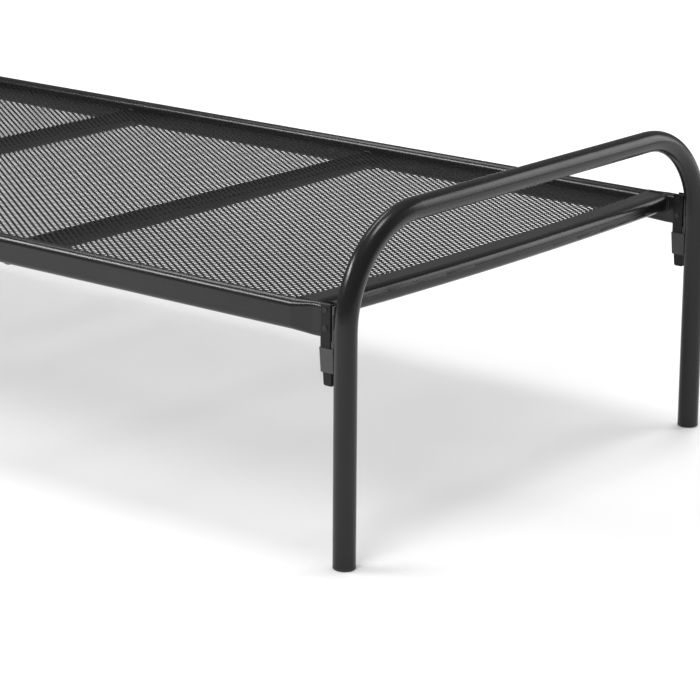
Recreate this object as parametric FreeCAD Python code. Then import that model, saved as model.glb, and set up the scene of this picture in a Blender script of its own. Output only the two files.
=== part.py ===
import FreeCAD, Part
import math
import os

os.makedirs("parts", exist_ok=True)

V = FreeCAD.Vector
UP = V(0, 0, 1)

# overall layout
length_over_tubes = 1270.0
width_over_tubes = 606.0
height_over_all = 337.0

# end frame tube
leg_dia = 22.0
leg_wall = 1.5
bend_radius = 100.0
leg_r = leg_dia / 2
leg_x = length_over_tubes / 2 - leg_r
leg_y = width_over_tubes / 2 - leg_r
top_axis_z = height_over_all - leg_r

# foot cap
cap_flange = 3.0
cap_plug = 16.0
cap_clear = 0.15
cap_edge = 1.6

# platform heights
deck_top_z = 250.0
mesh_drop = 11.0
mesh_gauge = 0.4
mesh_lap = 8.0
mesh_z = deck_top_z - mesh_drop

# long rail, a flat-oval tube on edge
rail_h = 30.0
rail_w = 15.0
rail_wall = 1.5
rail_mid_z = deck_top_z - rail_h / 2

# hook, riveted over the flattened rail end
hook_gap = 2.2
hook_length = 12.3
hook_sheet = 1.5
hook_over = 1.8
hook_drop = 7.75
hook_edge = 1.2
tab_clear = 0.1
shoulder = 1.0
tongue_length = 36.5
tongue_draw = 3.3
tongue_thinning = 1.7
tongue_nose = 2.2

# flattened rail end, from the hook inwards
tab_flare = 2.5
tab_w = 9.0
tab_bare = 10.5
neck_length = 24.0
tab_h = rail_h + tab_flare

# cross rail at each end, laid flat and bowed outwards
cross_h = 19.5
cross_w = 33.0
cross_flat = 2.5
cross_wall = 1.5
cross_gap = 21.3
cross_bow = 9.3
cross_edge = (cross_h - cross_flat) / 2
cross_mid_z = deck_top_z - cross_h / 2

# round brace under the mesh
brace_dia = 20.0
brace_wall = 1.2
brace_set_in = 439.0
brace_x = leg_x - brace_set_in

# socket, welded to the leg
fit_clear = 0.3
pocket_wall = 1.5
pocket_length = 23.1
plate_proud = 0.8
plate_root = 1.6
plate_half = 5.2
plate_over = 1.0
lip_over = 6.8
saddle_clear = 0.05

# rivets
rivet_r = 2.0
rivet_head_r = 2.9
rivet_head_h = 0.7
rivet_head_edge = 0.5
rivet_set_in = 6.4
rivet_high = 11.5
rivet_low = -5.5

# overshoot of cutting shapes, and how near counts as the same place
cut_past = 2.0
near = 0.1

# distances inboard of the leg axis
hook_in = leg_r + hook_gap
hook_out = hook_in + hook_length
tab_end = hook_in + hook_sheet + tab_clear
tab_at = hook_out + tab_bare
tab_from = tab_at + neck_length
cross_set_in = leg_r + cross_gap
tongue_out_tip = hook_out - tongue_draw
rivet_in = hook_in + rivet_set_in

# hook and socket heights and half widths
hook_half = tab_w / 2 + tab_clear + hook_sheet
hook_top_z = deck_top_z + hook_over
hook_low_z = rail_mid_z - tab_h / 2 - hook_drop
tongue_tip_z = hook_low_z - tongue_length
tongue_half_tip = hook_half - tongue_thinning
pocket_top_z = hook_low_z - fit_clear
pocket_low_z = pocket_top_z - pocket_length
plate_top_z = deck_top_z + plate_over
lip_top_z = pocket_top_z + lip_over

END = {"left": -1, "right": 1}
SIDE = {"front": -1, "back": 1}


def box(x0, x1, y0, y1, z0, z1):
    lo_x = min(x0, x1)
    lo_y = min(y0, y1)
    return Part.makeBox(abs(x1 - x0), abs(y1 - y0), z1 - z0, V(lo_x, lo_y, z0))


def oval(x, y, z, w, h):
    """Flat-oval wire across X at x: w wide along Y, h tall along Z."""
    r = w / 2
    s = h / 2 - r
    a = V(x, y - r, z - s)
    b = V(x, y - r, z + s)
    c = V(x, y, z + s + r)
    d = V(x, y + r, z + s)
    e = V(x, y + r, z - s)
    f = V(x, y, z - s - r)
    side_1 = Part.makeLine(a, b)
    top = Part.Arc(b, c, d).toShape()
    side_2 = Part.makeLine(d, e)
    low = Part.Arc(e, f, a).toShape()
    return Part.Wire([side_1, top, side_2, low])


def oval_bar(x0, x1, y, z, w, h):
    face = Part.Face(oval(x0, y, z, w, h))
    return face.extrude(V(x1 - x0, 0, 0))


def rail_solid(y, skin):
    """Long rail with its two flattened ends, skin mm in from the outside."""
    w = rail_w - 2 * skin
    h = rail_h - 2 * skin
    tw = tab_w - 2 * skin
    th = tab_h - 2 * skin
    z = rail_mid_z
    full = leg_x - tab_from
    flat = leg_x - tab_at
    end = leg_x - tab_end
    body = oval_bar(-full, full, y, z, w, h)
    for s in (-1, 1):
        wires = [oval(s * full, y, z, w, h), oval(s * flat, y, z, tw, th)]
        neck = Part.makeLoft(wires, True, True)
        body = body.fuse(neck)
        body = body.fuse(oval_bar(s * flat, s * end, y, z, tw, th))
    return body.removeSplitter()


def rail(y):
    return rail_solid(y, 0.0).cut(rail_solid(y, rail_wall))


def rounded_block(w, h, r, x, y, z):
    """Face in the XZ plane, w by h with corner radius r, centred at x, y, z."""
    deep = min(w, h)
    block = Part.makeBox(w, deep, h, V(x - w / 2, y, z - h / 2))
    edges = [e for e in block.Edges if abs(e.Vertexes[0].Y - e.Vertexes[-1].Y) > near]
    block = block.makeFillet(r, edges)
    flat = [f for f in block.Faces if abs(f.CenterOfMass.y - y) < near]
    return flat[0]


def cross_solid(sx, skin):
    """Cross rail swept on its shallow arc, skin mm in from the outside."""
    half = leg_y - rail_w / 2
    radius = (half * half + cross_bow * cross_bow) / (2 * cross_bow)
    outer_x = leg_x - cross_set_in + cross_bow
    centre_x = outer_x - radius
    w = cross_w - 2 * skin
    h = cross_h - 2 * skin
    r = cross_edge - skin
    mid_x = outer_x - cross_w / 2
    face = rounded_block(w, h, r, mid_x, 0.0, cross_mid_z)
    angle = math.degrees(math.asin(leg_y / (mid_x - centre_x)))
    face = face.rotate(V(centre_x, 0, 0), UP, -angle)
    bar = face.revolve(V(centre_x, 0, 0), UP, 2 * angle)
    if sx < 0:
        bar = bar.mirror(V(0, 0, 0), V(1, 0, 0))
    return bar


def cross_rail(sx):
    """Bowed tube, its ends cut square to butt against the long rails' flat sides."""
    bar = cross_solid(sx, 0.0).cut(cross_solid(sx, cross_wall))
    half = leg_y - rail_w / 2
    between = box(-leg_x, leg_x, -half, half, 0.0, height_over_all)
    return keep_largest(bar.common(between))


def keep_largest(shape):
    return max(shape.Solids, key=lambda s: s.Volume)


def brace(sx):
    half = leg_y - rail_w / 2
    z = mesh_z - mesh_gauge / 2 - brace_dia / 2
    at = V(sx * brace_x, -half, z)
    outer = Part.makeCylinder(brace_dia / 2, 2 * half, at, V(0, 1, 0))
    inner = Part.makeCylinder(brace_dia / 2 - brace_wall, 2 * half, at, V(0, 1, 0))
    return outer.cut(inner)


def mesh_deck(fences):
    half_x = leg_x - cross_set_in - mesh_lap
    half_y = leg_y
    low = mesh_z - mesh_gauge / 2
    sheet = box(-half_x, half_x, -half_y, half_y, low, low + mesh_gauge)
    for fence in fences:
        sheet = sheet.cut(fence)
    return keep_largest(sheet)


def end_path(sx):
    x = sx * leg_x
    y = leg_y
    z0 = cap_flange
    z1 = top_axis_z - bend_radius
    k = bend_radius * (1 - math.sqrt(0.5))
    zt = top_axis_z
    yb = y - bend_radius
    front_leg = Part.makeLine(V(x, -y, z0), V(x, -y, z1))
    front_bend = Part.Arc(V(x, -y, z1), V(x, -y + k, zt - k), V(x, -yb, zt)).toShape()
    top_rail = Part.makeLine(V(x, -yb, zt), V(x, yb, zt))
    back_bend = Part.Arc(V(x, yb, zt), V(x, y - k, zt - k), V(x, y, z1)).toShape()
    back_leg = Part.makeLine(V(x, y, z1), V(x, y, z0))
    return Part.Wire([front_leg, front_bend, top_rail, back_bend, back_leg])


def end_solid(sx, r):
    ring = Part.makeCircle(r, V(sx * leg_x, -leg_y, cap_flange), UP)
    return end_path(sx).makePipeShell([Part.Wire(ring)], True, False)


def end_tube(sx):
    return end_solid(sx, leg_r).cut(end_solid(sx, leg_r - leg_wall))


def foot_cap(sx, sy):
    at = V(sx * leg_x, sy * leg_y, 0)
    flange = Part.makeCylinder(leg_r, cap_flange, at, UP)
    low = [e for e in flange.Edges if e.BoundBox.ZMax < near]
    flange = flange.makeFillet(cap_edge, low)
    plug_r = leg_r - leg_wall - cap_clear
    plug = Part.makeCylinder(plug_r, cap_plug, at + V(0, 0, cap_flange), UP)
    return flange.fuse(plug).removeSplitter()


def corner_block(sx, sy, in0, in1, half, z0, z1):
    """Block at a corner: in0..in1 inboard of the leg axis, half wide each way."""
    x0 = sx * (leg_x - in0)
    x1 = sx * (leg_x - in1)
    y = sy * leg_y
    return box(x0, x1, y - half, y + half, z0, z1)


def wedge(sx, sy, inner, top, low):
    """Downward taper at a corner; top and low are (outer, half width, z) of its ends."""
    wires = []
    for out, half, z in (low, top):
        x0 = sx * (leg_x - inner)
        x1 = sx * (leg_x - out)
        y = sy * leg_y
        pts = [V(x0, y - half, z), V(x1, y - half, z), V(x1, y + half, z), V(x0, y + half, z)]
        wires.append(Part.makePolygon(pts + [pts[0]]))
    return Part.makeLoft(wires, True, True)


def taper(z, top, tip):
    """Size of the tongue at height z between its shoulder and its tip."""
    t = (hook_low_z - z) / (hook_low_z - tongue_tip_z)
    return top + (tip - top) * t


def tongue_out(z):
    return taper(z, hook_out - shoulder, tongue_out_tip)


def tongue_half(z):
    return taper(z, hook_half - shoulder, tongue_half_tip)


def upright_edges(shape):
    found = []
    for e in shape.Edges:
        a = e.Vertexes[0]
        b = e.Vertexes[-1]
        if abs(a.X - b.X) < near and abs(a.Y - b.Y) < near:
            found.append(e)
    return found


def hook(sx, sy):
    block = corner_block(sx, sy, hook_in, hook_out, hook_half, hook_low_z, hook_top_z)
    block = block.makeFillet(hook_edge, upright_edges(block))
    slot_half = tab_w / 2 + tab_clear
    slot_low = rail_mid_z - tab_h / 2 - tab_clear
    slot_out = hook_out + cut_past
    slot_top = hook_top_z + cut_past
    slot = corner_block(sx, sy, tab_end - tab_clear, slot_out, slot_half, slot_low, slot_top)
    block = block.cut(slot)
    top_out = tongue_out(hook_low_z)
    top_half = tongue_half(hook_low_z)
    top = (top_out, top_half, hook_low_z)
    low = (tongue_out_tip, tongue_half_tip, tongue_tip_z)
    tongue = wedge(sx, sy, hook_in, top, low)
    tip = []
    for e in tongue.Edges:
        at_tip = e.BoundBox.ZMax < tongue_tip_z + near
        outer = abs(abs(e.CenterOfMass.x) - (leg_x - tongue_out_tip)) < near
        if at_tip and outer:
            tip.append(e)
    tongue = tongue.makeFillet(tongue_nose, tip)
    return block.fuse(tongue)


def tongue_section(z, grow):
    """(outer, half width, z) of the tongue at height z, grown by grow all round."""
    return (tongue_out(z) + grow, tongue_half(z) + grow, z)


def socket(sx, sy):
    skin = fit_clear + pocket_wall
    root = leg_r - plate_root
    top = tongue_section(pocket_top_z, skin)
    low = tongue_section(pocket_low_z, skin)
    shell = wedge(sx, sy, root, top, low)
    shell = shell.makeFillet(hook_edge, slanted_edges(shell))
    # cavity runs past both rims on the same taper
    top = tongue_section(pocket_top_z + cut_past, fit_clear)
    low = tongue_section(pocket_low_z - cut_past, fit_clear)
    shell = shell.cut(wedge(sx, sy, hook_in - fit_clear, top, low))
    plate = corner_block(sx, sy, root, leg_r + plate_proud, plate_half, pocket_low_z, plate_top_z)
    lip = corner_block(sx, sy, root, hook_in - fit_clear, plate_half, pocket_low_z, lip_top_z)
    body = shell.fuse(plate).fuse(lip)
    # the plate's top reaches past the start of the bend, so the bent tube itself is the cutter
    tube = end_solid(sx, leg_r + saddle_clear)
    return keep_largest(body.cut(tube)).removeSplitter()


def slanted_edges(shape):
    """Steep outer corner edges of the pocket."""
    found = []
    for e in shape.Edges:
        tall = e.BoundBox.ZLength > pocket_length / 2
        outer = abs(e.CenterOfMass.x) < leg_x - hook_in
        if tall and outer:
            found.append(e)
    return found


def rivets(sx, sy):
    """Two rivets through hook and flattened rail, with a low head each side."""
    x = sx * (leg_x - rivet_in)
    y = sy * leg_y
    solids = []
    for z in (rail_mid_z + rivet_high, rail_mid_z + rivet_low):
        shank = Part.makeCylinder(rivet_r, 2 * hook_half, V(x, y - hook_half, z), V(0, 1, 0))
        for s in (-1, 1):
            at = V(x, y + s * hook_half, z)
            head = Part.makeCylinder(rivet_head_r, rivet_head_h, at, V(0, s, 0))
            rim = [e for e in head.Edges if abs(e.CenterOfMass.y - at.y) > rivet_head_h / 2]
            rim = [e for e in rim if abs(e.Length - 2 * math.pi * rivet_head_r) < near]
            head = head.makeFillet(rivet_head_edge, rim)
            shank = shank.fuse(head)
        solids.append(shank)
    return solids


def drill(shape, pins):
    for pin in pins:
        shape = shape.cut(pin)
    return shape


def save(name, shape):
    shape.exportStep("parts/" + name + ".step")
    n = len(shape.Solids)
    print(name, n, "solids", round(shape.Volume / 1000, 2), "cm3", shape.isValid())


pins = {}
for end, sx in END.items():
    for side, sy in SIDE.items():
        pins[end, side] = rivets(sx, sy)

rail_fence = {}
for side, sy in SIDE.items():
    rail_fence[side] = rail_solid(sy * leg_y, 0.0)
    bar = rail(sy * leg_y)
    for end in END:
        bar = drill(bar, pins[end, side])
    save(side + "_rail", bar)

cross_fence = {}
for end, sx in END.items():
    cross_fence[end] = cross_solid(sx, 0.0)
    save(end + "_cross_rail", cross_rail(sx))
    save(end + "_brace", brace(sx))
    save(end + "_end_tube", end_tube(sx))

save("mesh_deck", mesh_deck(list(rail_fence.values()) + list(cross_fence.values())))

for end, sx in END.items():
    for side, sy in SIDE.items():
        corner = end + "_" + side
        save(corner + "_hook", drill(hook(sx, sy), pins[end, side]))
        save(corner + "_rivets", Part.Compound(pins[end, side]))
        save(corner + "_socket", socket(sx, sy))
        save(corner + "_foot_cap", foot_cap(sx, sy))
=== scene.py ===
import math
import random

import bmesh
import bpy
from mathutils import Matrix, Vector


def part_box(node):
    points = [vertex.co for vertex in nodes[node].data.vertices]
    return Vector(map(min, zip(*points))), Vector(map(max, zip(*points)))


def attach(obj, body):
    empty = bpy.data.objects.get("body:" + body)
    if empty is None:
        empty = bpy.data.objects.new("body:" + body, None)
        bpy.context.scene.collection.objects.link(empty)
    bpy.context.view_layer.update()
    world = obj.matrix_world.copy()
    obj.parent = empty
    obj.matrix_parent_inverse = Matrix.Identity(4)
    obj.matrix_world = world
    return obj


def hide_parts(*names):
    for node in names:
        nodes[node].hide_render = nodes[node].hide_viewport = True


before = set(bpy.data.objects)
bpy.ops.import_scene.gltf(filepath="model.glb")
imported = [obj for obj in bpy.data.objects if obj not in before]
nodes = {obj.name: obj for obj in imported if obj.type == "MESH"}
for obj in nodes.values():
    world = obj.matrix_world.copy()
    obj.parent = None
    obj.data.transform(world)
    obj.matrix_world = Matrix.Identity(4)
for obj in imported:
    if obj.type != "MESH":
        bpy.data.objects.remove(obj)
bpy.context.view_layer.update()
scene = bpy.context.scene
print("frame loaded", len(nodes), "nodes")


def link(tree, start, end):
    tree.links.new(start, end)


def newMaterial(name):
    material = bpy.data.materials.new(name)
    material.use_nodes = True
    tree = material.node_tree
    shader = tree.nodes["Principled BSDF"]
    place = tree.nodes.new("ShaderNodeTexCoord").outputs["Object"]
    return material, tree, shader, place


def noise(tree, place, scale, detail=2.0, roughness=0.5):
    node = tree.nodes.new("ShaderNodeTexNoise")
    node.inputs["Scale"].default_value = scale
    node.inputs["Detail"].default_value = detail
    node.inputs["Roughness"].default_value = roughness
    link(tree, place, node.inputs["Vector"])
    return node.outputs["Fac"]


def ranged(tree, value, low, high, fromLow=0.3, fromHigh=0.7):
    node = tree.nodes.new("ShaderNodeMapRange")
    node.inputs["From Min"].default_value = fromLow
    node.inputs["From Max"].default_value = fromHigh
    node.inputs["To Min"].default_value = low
    node.inputs["To Max"].default_value = high
    link(tree, value, node.inputs["Value"])
    return node.outputs["Result"]


def mixed(tree, factor, first, second):
    node = tree.nodes.new("ShaderNodeMix")
    node.data_type = "RGBA"
    node.inputs["A"].default_value = (*first, 1)
    node.inputs["B"].default_value = (*second, 1)
    link(tree, factor, node.inputs["Factor"])
    return node.outputs["Result"]


# painted steel: a grainy skin over a faint orange peel, with a slow drift of tone
frameCoat = {
    "dark": (0.0060, 0.0061, 0.0063), "light": (0.0085, 0.0086, 0.0088), "drift": 9.0,
    "rough": (0.21, 0.27), "specular": 0.34,
    "grain": 1500.0, "grainHeight": 0.00002, "peel": 260.0, "peelHeight": 0.00003,
}
meshCoat = {
    "dark": (0.0030, 0.0031, 0.0033), "light": (0.0055, 0.0056, 0.0058), "drift": 14.0,
    "rough": (0.38, 0.48), "specular": 0.21,
    "grain": 1800.0, "grainHeight": 0.00002, "peel": 500.0, "peelHeight": 0.00002,
}
hookCoat = {
    "dark": (0.0040, 0.0041, 0.0043), "light": (0.0065, 0.0066, 0.0068), "drift": 30.0,
    "rough": (0.34, 0.44), "specular": 0.24,
    "grain": 1500.0, "grainHeight": 0.00003, "peel": 320.0, "peelHeight": 0.00004,
}
socketCoat = {
    "dark": (0.027, 0.0272, 0.0277), "light": (0.036, 0.0362, 0.0367), "drift": 30.0,
    "rough": (0.40, 0.50), "specular": 0.5,
    "grain": 1500.0, "grainHeight": 0.00003, "peel": 320.0, "peelHeight": 0.00004,
}
rivetCoat = {
    "dark": (0.0060, 0.0061, 0.0063), "light": (0.0100, 0.0101, 0.0103), "drift": 60.0,
    "rough": (0.28, 0.38), "specular": 0.36,
    "grain": 1500.0, "grainHeight": 0.00002, "peel": 600.0, "peelHeight": 0.00003,
}
footPlastic = {
    "dark": (0.0080, 0.0080, 0.0082), "light": (0.0110, 0.0110, 0.0112), "drift": 40.0,
    "rough": (0.42, 0.54), "specular": 0.5,
    "grain": 2400.0, "grainHeight": 0.00004, "peel": 700.0, "peelHeight": 0.00002,
}
cloudFiner = 3.1  # how much finer the gloss clouds are than the drift of tone


def coat(name, sizes):
    material, tree, shader, place = newMaterial(name)
    drift = noise(tree, place, sizes["drift"], 3.0, 0.55)
    tone = mixed(tree, ranged(tree, drift, 0.0, 1.0), sizes["dark"], sizes["light"])
    link(tree, tone, shader.inputs["Base Color"])
    cloud = noise(tree, place, sizes["drift"] * cloudFiner, 2.0, 0.6)
    link(tree, ranged(tree, cloud, *sizes["rough"]), shader.inputs["Roughness"])
    shader.inputs["Specular IOR Level"].default_value = sizes["specular"]
    under = None
    for scale, high in ((sizes["peel"], sizes["peelHeight"]), (sizes["grain"], sizes["grainHeight"])):
        bump = tree.nodes.new("ShaderNodeBump")
        bump.inputs["Strength"].default_value = 1.0
        bump.inputs["Distance"].default_value = high
        link(tree, noise(tree, place, scale, 2.0, 0.5), bump.inputs["Height"])
        if under:
            link(tree, under, bump.inputs["Normal"])
        under = bump.outputs["Normal"]
    link(tree, under, shader.inputs["Normal"])
    return material


coats = {
    "frame_coat": coat("frameCoat", frameCoat),
    "mesh_coat": coat("meshCoat", meshCoat),
    "fitting_coat": coat("hookCoat", hookCoat),
    "socket_coat": coat("socketCoat", socketCoat),
    "rivet_coat": coat("rivetCoat", rivetCoat),
    "foot_plastic": coat("footPlastic", footPlastic),
}
print("finishes made")


def finishFor(name):
    if name.endswith("_hook"):
        return "fitting_coat"
    if name.endswith("_socket"):
        return "socket_coat"
    if name.endswith("_rivets"):
        return "rivet_coat"
    if name.endswith("_foot_cap"):
        return "foot_plastic"
    if name == "mesh_deck":
        return "mesh_coat"
    return "frame_coat"


# the CAD pieces keep their meshes and get these finishes
for name, node in nodes.items():
    node.data.materials.clear()
    node.data.materials.append(coats[finishFor(name)])
print("CAD nodes coated")


def newPiece(name, bm, body, slotName, smooth=False):
    mesh = bpy.data.meshes.new(name)
    bm.to_mesh(mesh)
    bm.free()
    piece = bpy.data.objects.new(name, mesh)
    scene.collection.objects.link(piece)
    mesh.materials.append(coats[slotName])
    for face in mesh.polygons:
        face.use_smooth = smooth
    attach(piece, body)
    return piece


# the open mesh, like the welds after it, is made in millimetres and scaled at the end
perMetre = 1000.0
toMetres = 1 / perMetre
deckLow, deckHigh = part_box("mesh_deck")
deckMesh = {
    "cellLong": 10.6, "cellWide": 7.3,  # from one opening to the next
    "strand": 2.5, "thick": 0.42, "lean": 0.06, "blunt": 0.5,
    "innerReach": 0.97, "rimFrom": 0.05, "weldNear": 0.002, "cutNear": 0.0001,
    "panels": 4, "endIn": 577.0, "sideIn": 287.2,
    "level": (deckLow.z + deckHigh.z) / 2 * perMetre,
}


def vertsIn(result):
    return [g for g in result["geom"] if isinstance(g, bmesh.types.BMVert)]


def everything(bm):
    return bm.verts[:] + bm.edges[:] + bm.faces[:]


def deckCell(sizes):
    # one opening with half of each strand round it
    bm = bmesh.new()
    bmesh.ops.create_circle(bm, cap_ends=True, segments=4, radius=1.0)
    bmesh.ops.scale(bm, vec=(sizes["cellLong"] / 2, sizes["cellWide"] / 2, 1), verts=bm.verts)
    opening = bm.faces[:][0]
    bmesh.ops.inset_individual(bm, faces=[opening], thickness=sizes["strand"] / 2, use_even_offset=True)
    corners = [v for v in opening.verts if abs(v.co.x) < sizes["weldNear"]]
    bmesh.ops.delete(bm, geom=[opening], context="FACES_ONLY")
    bmesh.ops.bevel(bm, geom=corners, offset=sizes["blunt"], segments=1, profile=0.5,
                    affect="VERTICES", material=-1)
    rim = [e for e in bm.edges if e.is_boundary and edgeReach(e, sizes) < sizes["innerReach"]]
    rimVerts = list({v for e in rim for v in e.verts})
    for side in (1, -1):
        leaning = [v for v in rimVerts if v.co.y * side > sizes["rimFrom"]]
        bmesh.ops.translate(bm, vec=(0, 0, sizes["lean"] * side), verts=leaning)
    top = bm.faces[:]
    copied = bmesh.ops.duplicate(bm, geom=everything(bm))
    bmesh.ops.translate(bm, vec=(0, 0, -sizes["thick"]), verts=vertsIn(copied))
    lowRim = [copied["edge_map"][e] for e in rim]
    bmesh.ops.reverse_faces(bm, faces=[g for g in copied["geom"] if isinstance(g, bmesh.types.BMFace)])
    bmesh.ops.bridge_loops(bm, edges=rim + lowRim)
    bmesh.ops.recalc_face_normals(bm, faces=bm.faces)
    if top[0].normal.z < 0:
        bmesh.ops.reverse_faces(bm, faces=bm.faces)
    return bm


def edgeReach(edge, sizes):
    # 1 on the strands' centre lines, less inside the opening
    halfLong, halfWide = sizes["cellLong"] / 2, sizes["cellWide"] / 2
    return max(abs(v.co.x) / halfLong + abs(v.co.y) / halfWide for v in edge.verts)


def doubled(bm, step, count):
    # copies along step, doubling each time, until there are count or more
    made = 1
    while made < count:
        copied = bmesh.ops.duplicate(bm, geom=everything(bm))
        bmesh.ops.translate(bm, vec=Vector(step) * made, verts=vertsIn(copied))
        made *= 2


def clip(bm, at, away):
    bmesh.ops.bisect_plane(bm, geom=everything(bm), dist=deckMesh["cutNear"], plane_co=at, plane_no=away,
                           clear_outer=True)


def deckPanel(number, sizes):
    wide = 2 * sizes["endIn"] / sizes["panels"]
    low = -sizes["endIn"] + wide * number
    high = low + wide
    stepX, stepY = sizes["cellLong"], sizes["cellWide"]
    startX = math.floor(low / stepX) - 1
    startY = math.floor(-sizes["sideIn"] / stepY) - 1
    bm = deckCell(sizes)
    copied = bmesh.ops.duplicate(bm, geom=everything(bm))
    bmesh.ops.translate(bm, vec=(stepX / 2, stepY / 2, 0), verts=vertsIn(copied))
    place = (startX * stepX, startY * stepY, sizes["level"] + sizes["thick"] / 2)
    bmesh.ops.translate(bm, vec=place, verts=bm.verts)
    doubled(bm, (stepX, 0, 0), math.ceil(wide / stepX) + 3)
    clip(bm, (high, 0, 0), (1, 0, 0))
    clip(bm, (low, 0, 0), (-1, 0, 0))
    doubled(bm, (0, stepY, 0), 3 - 2 * startY)
    clip(bm, (0, sizes["sideIn"], 0), (0, 1, 0))
    clip(bm, (0, -sizes["sideIn"], 0), (0, -1, 0))
    bmesh.ops.remove_doubles(bm, verts=bm.verts, dist=sizes["weldNear"])
    bmesh.ops.holes_fill(bm, edges=[e for e in bm.edges if e.is_boundary], sides=0)  # cut ends of strands
    bmesh.ops.scale(bm, vec=(toMetres,) * 3, verts=bm.verts)
    piece = newPiece("mesh_panel_%d" % (number + 1), bm, "platform", "mesh_coat")
    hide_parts("mesh_deck")
    triangles = sum(len(f.vertices) - 2 for f in piece.data.polygons)
    print("mesh panel", number + 1, triangles, "triangles")


for number in range(deckMesh["panels"]):
    deckPanel(number, deckMesh)


# welds between the tubes, and from each socket to its leg
railLow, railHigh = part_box("front_rail")
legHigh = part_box("right_end_tube")[1]
rail = {
    "line": -(railLow.y + railHigh.y) / 2 * perMetre, "middle": (railLow.z + railHigh.z) / 2 * perMetre,
    "half": 7.5, "tall": 15.0, "tabHalf": 4.5, "tabTall": 16.25, "neckStart": 564.0, "neckEnd": 588.0,
}
weldShape = {"proud": 0.12, "into": 0.3, "off": 0.1, "beadOff": 0.15, "crest": 3.4, "cornerSteps": 9,
             "longEdge": 2.4, "edgeStep": 2.0}
crossWeld = {"at": 575.2, "level": 240.25, "long": 33.0, "tall": 19.5, "edge": 8.45, "start": 284.0,
             "bead": 1.35, "ripple": 0.16, "pitch": 2.3, "step": 0.7}
braceWeld = {"at": 185.0, "level": 228.8, "long": 20.0, "tall": 20.0, "edge": 9.95, "start": 284.0,
             "bead": 1.25, "ripple": 0.16, "pitch": 2.3, "step": 0.7}
socketWeld = {"legR": 11.0, "half": 5.5, "runs": ((190.0, 204.0), (229.0, 243.0)),
              "bead": 1.05, "ripple": 0.18, "pitch": 2.1, "step": 0.7}
legAxis = legHigh.x * perMetre - socketWeld["legR"]


def railSurface(x, z):
    # how far the long rail's inner skin stands from the bed's middle line
    neck = (abs(x) - rail["neckStart"]) / (rail["neckEnd"] - rail["neckStart"])
    neck = min(max(neck, 0.0), 1.0)
    half = rail["half"] + (rail["tabHalf"] - rail["half"]) * neck
    tall = rail["tall"] + (rail["tabTall"] - rail["tall"]) * neck
    off = max(abs(z - rail["middle"]) - (tall - half), 0.0)
    return rail["line"] - math.sqrt(max(half * half - off * off, 0.0))


def walk(points, step, closed):
    # even steps along a run of points
    ends = points[1:] + points[:1] if closed else points[1:]
    out = []
    for first, last in zip(points, ends):
        count = max(int(round((last - first).length / step)), 1)
        out += [first.lerp(last, number / count) for number in range(count)]
    return out if closed else out + [points[-1]]


beadEnd = 0.5  # a run of weld thins to this share of its size


def bead(points, sizes, closed, seed):
    # a rippled run of weld as a mesh
    dice = random.Random(seed)
    path = walk(points, sizes["step"], closed)
    curve = bpy.data.curves.new("bead", "CURVE")
    curve.dimensions = "3D"
    curve.bevel_depth = sizes["bead"]
    curve.bevel_resolution = 2
    curve.use_fill_caps = not closed
    spline = curve.splines.new("POLY")
    spline.points.add(len(path) - 1)
    spline.use_cyclic_u = closed
    shift = dice.uniform(0, 6)
    along = 0.0
    wave = 2 * math.pi / sizes["pitch"]
    for number, (point, place) in enumerate(zip(spline.points, path)):
        if number:
            along += (place - path[number - 1]).length * dice.uniform(0.9, 1.1)
        point.co = (*place, 1)
        point.radius = 1 + sizes["ripple"] * math.sin(along * wave + shift)
    if not closed:
        spline.points[0].radius = spline.points[-1].radius = beadEnd
    holder = bpy.data.objects.new("bead", curve)
    scene.collection.objects.link(holder)
    bpy.context.view_layer.update()
    mesh = bpy.data.meshes.new_from_object(holder.evaluated_get(bpy.context.evaluated_depsgraph_get()))
    bpy.data.objects.remove(holder)
    bpy.data.curves.remove(curve)
    return mesh


def crossSection(sizes):
    bm = bmesh.new()
    bmesh.ops.create_grid(bm, x_segments=1, y_segments=1, size=0.5)
    wide, tall = (sizes[way] + 2 * weldShape["proud"] for way in ("long", "tall"))
    bmesh.ops.scale(bm, vec=(wide, tall, 1), verts=bm.verts)
    bmesh.ops.bevel(bm, geom=bm.verts[:], offset=sizes["edge"], segments=weldShape["cornerSteps"],
                    profile=0.5, affect="VERTICES", material=-1)
    for edge in bm.edges[:]:
        length = edge.calc_length()
        if length > weldShape["longEdge"]:
            bmesh.ops.subdivide_edges(bm, edges=[edge], cuts=int(length / weldShape["edgeStep"]))
    upright = Matrix.Rotation(math.radians(90), 3, "X")
    bmesh.ops.rotate(bm, cent=(0, 0, 0), matrix=upright, verts=bm.verts)
    return bm


def tubeWeld(name, sizes, signX, signY, seed):
    # a collar from the tube's cut end to the rail's skin, and a bead round it
    bm = crossSection(sizes)
    bmesh.ops.translate(bm, vec=(sizes["at"], sizes["start"], sizes["level"]), verts=bm.verts)
    face = bm.faces[:][0]
    ring = [loop.vert for loop in face.loops]
    grown = bmesh.ops.extrude_face_region(bm, geom=[face], use_keep_orig=True)
    limit = rail["line"] - weldShape["crest"]
    for vert in vertsIn(grown):
        vert.co.y = min(railSurface(vert.co.x, vert.co.z) + weldShape["into"], limit)
    middle = Vector((sizes["at"], 0, sizes["level"]))
    points = []
    for vert in ring:
        outward = Vector((vert.co.x, 0, vert.co.z)) - middle
        y = min(railSurface(vert.co.x, vert.co.z) - weldShape["off"], limit)
        points.append(Vector((vert.co.x, y, vert.co.z)) + outward.normalized() * weldShape["beadOff"])
    run = bead(points, sizes, True, seed)
    bm.from_mesh(run)
    bpy.data.meshes.remove(run)
    bmesh.ops.scale(bm, vec=(toMetres * signX, toMetres * signY, toMetres), verts=bm.verts)
    bmesh.ops.recalc_face_normals(bm, faces=bm.faces)
    newPiece(name, bm, "platform", "frame_coat", smooth=True)


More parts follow.
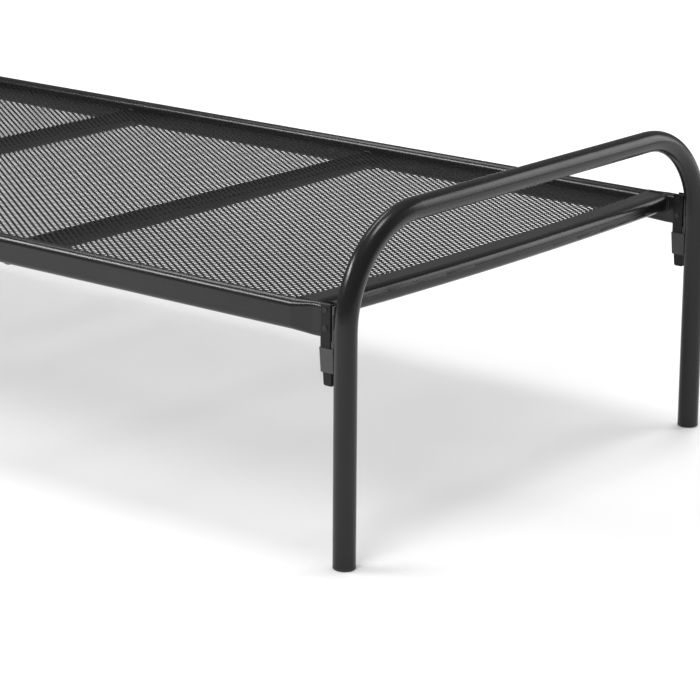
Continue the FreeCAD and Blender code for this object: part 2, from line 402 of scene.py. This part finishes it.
def socketBeads(name, sizes, signX, signY, seed):
    bm = bmesh.new()
    inward = math.sqrt(sizes["legR"] ** 2 - sizes["half"] ** 2)
    for side in (-1, 1):
        for low, high in sizes["runs"]:
            seed += 1
            x, y = legAxis - inward, rail["line"] + side * sizes["half"]
            run = bead([Vector((x, y, low)), Vector((x, y, high))], sizes, False, seed)
            bm.from_mesh(run)
            bpy.data.meshes.remove(run)
    bmesh.ops.scale(bm, vec=(toMetres * signX, toMetres * signY, toMetres), verts=bm.verts)
    bmesh.ops.recalc_face_normals(bm, faces=bm.faces)
    body = "right_end_frame" if signX > 0 else "left_end_frame"
    newPiece(name, bm, body, "frame_coat", smooth=True)


weldSeed = 40  # each corner's ripples start ten on from the last
for endName, signX in (("right", 1), ("left", -1)):
    for sideName, signY in (("front", -1), ("back", 1)):
        weldSeed += 10
        tubeWeld("%s_cross_%s_weld" % (endName, sideName), crossWeld, signX, signY, weldSeed)
        tubeWeld("%s_brace_%s_weld" % (endName, sideName), braceWeld, signX, signY, weldSeed + 1)
        socketBeads("%s_%s_socket_weld" % (endName, sideName), socketWeld, signX, signY, weldSeed + 2)
print("welds laid")


# floor, lights and camera
floor = {"half": 14.0, "level": -0.0002, "tone": 0.80, "rough": 0.6}
# grey by height, from straight down to straight up
sky = {"strength": 1.0, "heights": (0.0, 0.80, 0.90, 1.0), "tones": (0.20, 0.30, 0.50, 0.50)}
sun = {"strength": 1.0, "angle": 20.0, "height": 3.0}
softboxAim = (0.3, 0.0, 0.2)
softboxes = {
    "frontLeft": {"azimuth": -136.5, "height": 33.0, "away": 2.5, "size": (1.3, 0.38), "watts": 32.0},
    "rightBack": {"azimuth": 57.0, "height": 24.0, "away": 3.0, "size": (1.4, 1.2), "watts": 18.0},
    "rightLow": {"azimuth": 57.0, "height": 7.0, "away": 3.0, "size": (1.4, 0.5), "watts": 6.5},
    "left": {"azimuth": 168.0, "height": 52.0, "away": 2.6, "size": (1.2, 0.35), "watts": 10.0},
    # these two lighten the shadow on the floor and don't mirror in the paint
    "fillFront": {"azimuth": -75.0, "height": 24.0, "away": 4.5, "size": (2.5, 2.0), "watts": 126.0,
                  "mirrored": False},
    "fillBack": {"azimuth": 105.0, "height": 24.0, "away": 4.5, "size": (2.5, 2.0), "watts": 126.0,
                 "mirrored": False},
}
view = {
    "place": (2.264541, -2.309654, 0.956364), "turn": 39.027, "down": 15.991, "roll": 0.413,
    "lens": 152.92, "sensor": 36.0, "far": 60.0,
}


def makeFloor():
    bm = bmesh.new()
    bmesh.ops.create_grid(bm, x_segments=1, y_segments=1, size=floor["half"])
    mesh = bpy.data.meshes.new("floor")
    bm.to_mesh(mesh)
    bm.free()
    ground = bpy.data.objects.new("floor", mesh)
    ground.location.z = floor["level"]
    scene.collection.objects.link(ground)
    material, tree, shader, place = newMaterial("floorPaper")
    shader.inputs["Base Color"].default_value = (floor["tone"],) * 3 + (1,)
    shader.inputs["Roughness"].default_value = floor["rough"]
    shader.inputs["Specular IOR Level"].default_value = 0.0
    mesh.materials.append(material)


def makeSun():
    lamp = bpy.data.lights.new("sun", "SUN")
    lamp.energy = sun["strength"]
    lamp.angle = math.radians(sun["angle"])
    holder = bpy.data.objects.new("sun", lamp)
    holder.location = (0, 0, sun["height"])
    scene.collection.objects.link(holder)


def makeSoftbox(name, sizes):
    # stands round the bed's middle and faces it
    lamp = bpy.data.lights.new(name, "AREA")
    lamp.shape = "RECTANGLE"
    lamp.size, lamp.size_y = sizes["size"]
    lamp.energy = sizes["watts"]
    around, up = math.radians(sizes["azimuth"]), math.radians(sizes["height"])
    level = math.cos(up)
    outward = Vector((level * math.cos(around), level * math.sin(around), math.sin(up)))
    holder = bpy.data.objects.new(name, lamp)
    holder.location = outward * sizes["away"] + Vector(softboxAim)
    holder.rotation_euler = outward.to_track_quat("Z", "Y").to_euler()
    holder.visible_camera = False
    holder.visible_glossy = sizes.get("mirrored", True)
    scene.collection.objects.link(holder)


def makeSky():
    world = bpy.data.worlds.new("studio")
    scene.world = world
    world.use_nodes = True
    tree = world.node_tree
    back = tree.nodes["Background"]
    back.inputs["Strength"].default_value = sky["strength"]
    coordinate = tree.nodes.new("ShaderNodeTexCoord")
    split = tree.nodes.new("ShaderNodeSeparateXYZ")
    link(tree, coordinate.outputs["Generated"], split.inputs["Vector"])
    ramp = tree.nodes.new("ShaderNodeValToRGB")
    stops = ramp.color_ramp.elements
    stops[0].position, stops[1].position = sky["heights"][0], sky["heights"][-1]
    for height in sky["heights"][1:-1]:
        stops.new(height)
    for stop, tone in zip(stops, sky["tones"]):
        stop.color = (tone, tone, tone, 1)
    link(tree, split.outputs["Z"], ramp.inputs["Fac"])
    link(tree, ramp.outputs["Color"], back.inputs["Color"])


def makeCamera():
    data = bpy.data.cameras.new("camera")
    data.sensor_width = view["sensor"]
    data.lens = view["lens"]
    data.clip_end = view["far"]
    camera = bpy.data.objects.new("camera", data)
    turn = Matrix.Rotation(math.radians(view["turn"]), 4, "Z")
    tip = Matrix.Rotation(math.radians(90 - view["down"]), 4, "X")
    roll = Matrix.Rotation(math.radians(view["roll"]), 4, "Z")
    camera.matrix_world = Matrix.Translation(view["place"]) @ turn @ tip @ roll
    scene.collection.objects.link(camera)
    scene.camera = camera


makeFloor()
makeSun()
for name, sizes in softboxes.items():
    makeSoftbox(name, sizes)
makeSky()
makeCamera()
scene.view_settings.view_transform = "Standard"
print("studio ready")
